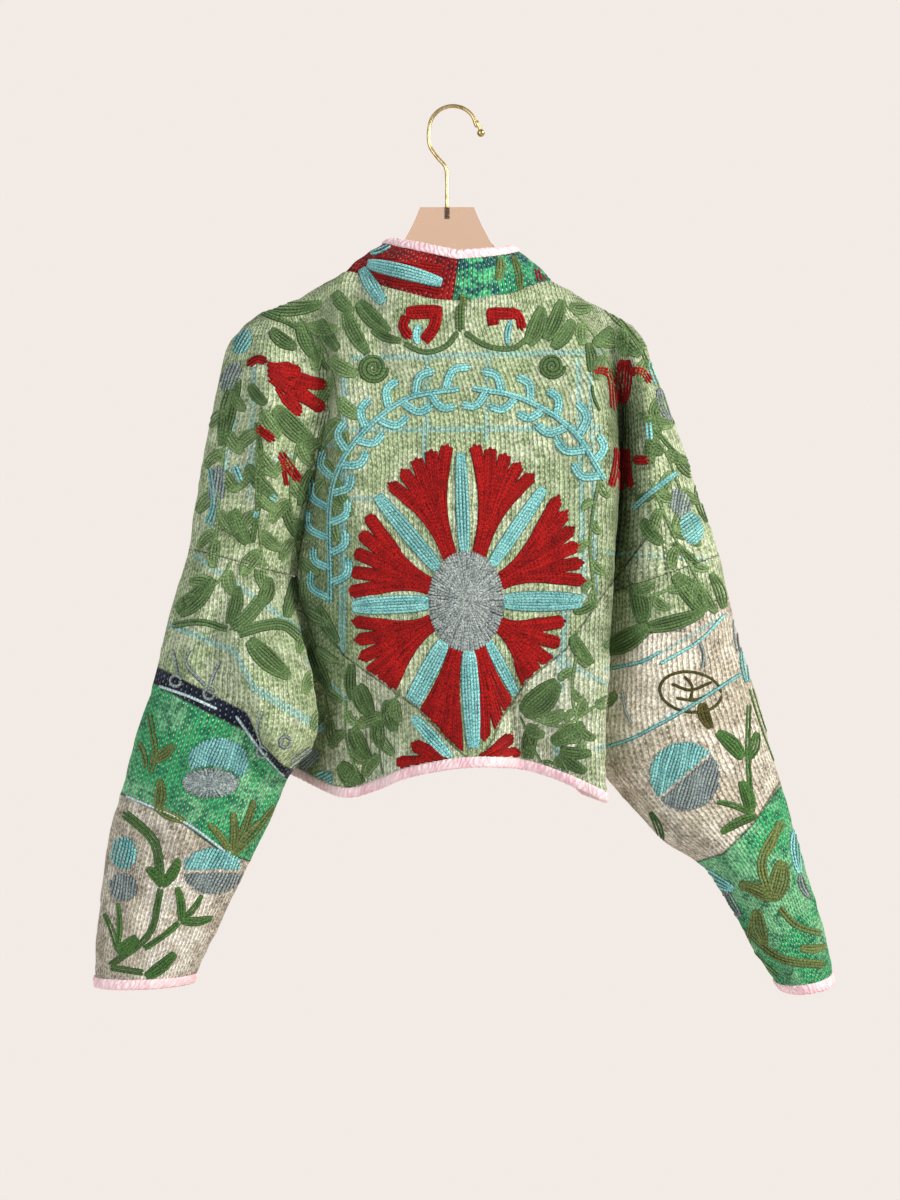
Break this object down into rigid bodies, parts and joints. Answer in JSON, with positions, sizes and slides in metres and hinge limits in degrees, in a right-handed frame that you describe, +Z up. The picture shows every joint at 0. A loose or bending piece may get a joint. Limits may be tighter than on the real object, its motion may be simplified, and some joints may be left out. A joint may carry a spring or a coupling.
{
  "type": "suzani jacket on a hanger",
  "caption": "Cropped quilted cotton jacket with a stand collar, wide sleeves and an open front, embroidered in suzani style and hung on a clear plate hanger whose hook goes over a peg.",
  "frame": {"origin": "inside top of the hanger hook's crown, where a peg carries it", "axes": "+Z up, +X to the wearer's right, -Y the way the jacket's back faces and +Y the way its open front faces"},
  "size_m": [0.7361, 0.1655, 0.8851],
  "materials": {
    "quilted_sage": "matte quilted cotton",
    "quilted_taupe": "matte quilted cotton",
    "quilted_scarlet": "matte embroidered cotton",
    "quilted_green": "matte quilted cotton",
    "binding_pink": "puckered cotton binding",
    "acrylic_smoke": "clear tinted acrylic",
    "brass": "polished",
    "steel": "dark plated"
  },
  "bodies": {
    "root": {"back_centre": "quilted_sage", "back_lower_left": "quilted_sage", "back_lower_right": "quilted_sage", "front_left": "quilted_sage", "front_right": "quilted_sage", "sleeve_left": "quilted_sage", "sleeve_right": "quilted_taupe", "collar_left": "quilted_scarlet", "collar_right": "quilted_green", "hem_binding": "binding_pink", "cuff_binding_left": "binding_pink", "cuff_binding_right": "binding_pink", "front_binding_left": "binding_pink", "front_binding_right": "binding_pink", "collar_binding": "binding_pink", "hanger_plate": "acrylic_smoke", "hook_socket": "steel", "hanger_hook": "brass"}
  },
  "joints": []
}
